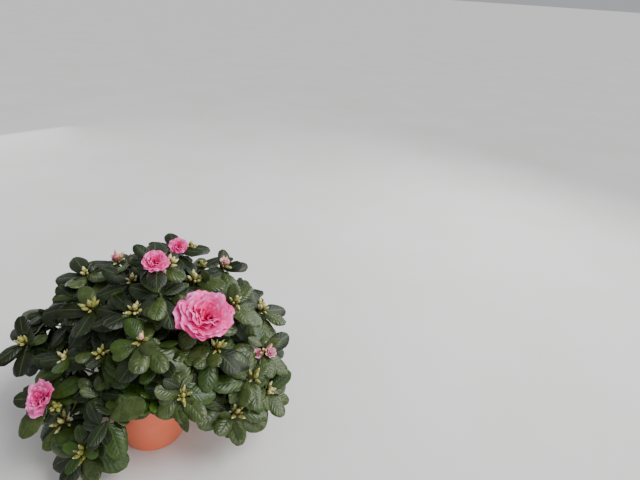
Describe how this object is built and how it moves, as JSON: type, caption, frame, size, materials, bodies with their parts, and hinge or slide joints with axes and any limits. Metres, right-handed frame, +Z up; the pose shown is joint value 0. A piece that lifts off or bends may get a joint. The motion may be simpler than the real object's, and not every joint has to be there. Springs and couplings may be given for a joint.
{
  "type": "potted azalea shrub",
  "caption": "Dense domed evergreen shrub with whorls of dark leaves, pale buds and ruffled double pink blossoms, on a short trunk in a tapered round terracotta-coloured plastic pot.",
  "frame": {"origin": "centre of the pot's flat underside, on the surface that the pot stands on", "axes": "+Z straight up along the pot's axis; +X to the right and -Y towards the viewer as the picture shows the plant"},
  "size_m": [0.4346, 0.3905, 0.3141],
  "materials": {
    "pot": "moulded terracotta-coloured plastic with a slight sheen and faint scuffs",
    "soil": "dark moist crumbly peat",
    "bark": "grey-brown bark, shallowly fissured",
    "foliage": "dark green leathery leaves with a soft sheen, paler below",
    "twigs": "young green-brown twigs with fine hairs",
    "buds": "pale yellow-green bud scales, browner at the base and pink at some tips",
    "petals": "soft matt pink petals, deeper in the heart and paler at the ruffled edge"
  },
  "bodies": {
    "root": {"pot": "pot", "soil": "soil", "trunk": "bark", "bough_leader": "bark", "bough_front": "bark", "bough_right": "bark", "bough_back_right": "bark", "bough_back": "bark", "bough_back_left": "bark", "bough_left": "bark", "bough_front_left": "bark", "bough_high_left": "bark", "bough_low_left": "bark", "bough_high_right": "bark", "bough_low_right": "bark", "bough_high_back": "bark", "bough_low_back_right": "bark", "bough_low_back": "bark", "bough_low_back_left": "bark", "bough_low_front": "bark", "bough_upper_left": "bark", "foliage_leader": "foliage", "foliage_front": "foliage", "foliage_right": "foliage", "foliage_back_right": "foliage", "foliage_back": "foliage", "foliage_back_left": "foliage", "foliage_left": "foliage", "foliage_front_left": "foliage", "foliage_high_left": "foliage", "foliage_low_left": "foliage", "foliage_high_right": "foliage", "foliage_low_right": "foliage", "foliage_high_back": "foliage", "foliage_low_back_right": "foliage", "foliage_low_back": "foliage", "foliage_low_back_left": "foliage", "foliage_low_front": "foliage", "foliage_upper_left": "foliage"}
  },
  "joints": []
}
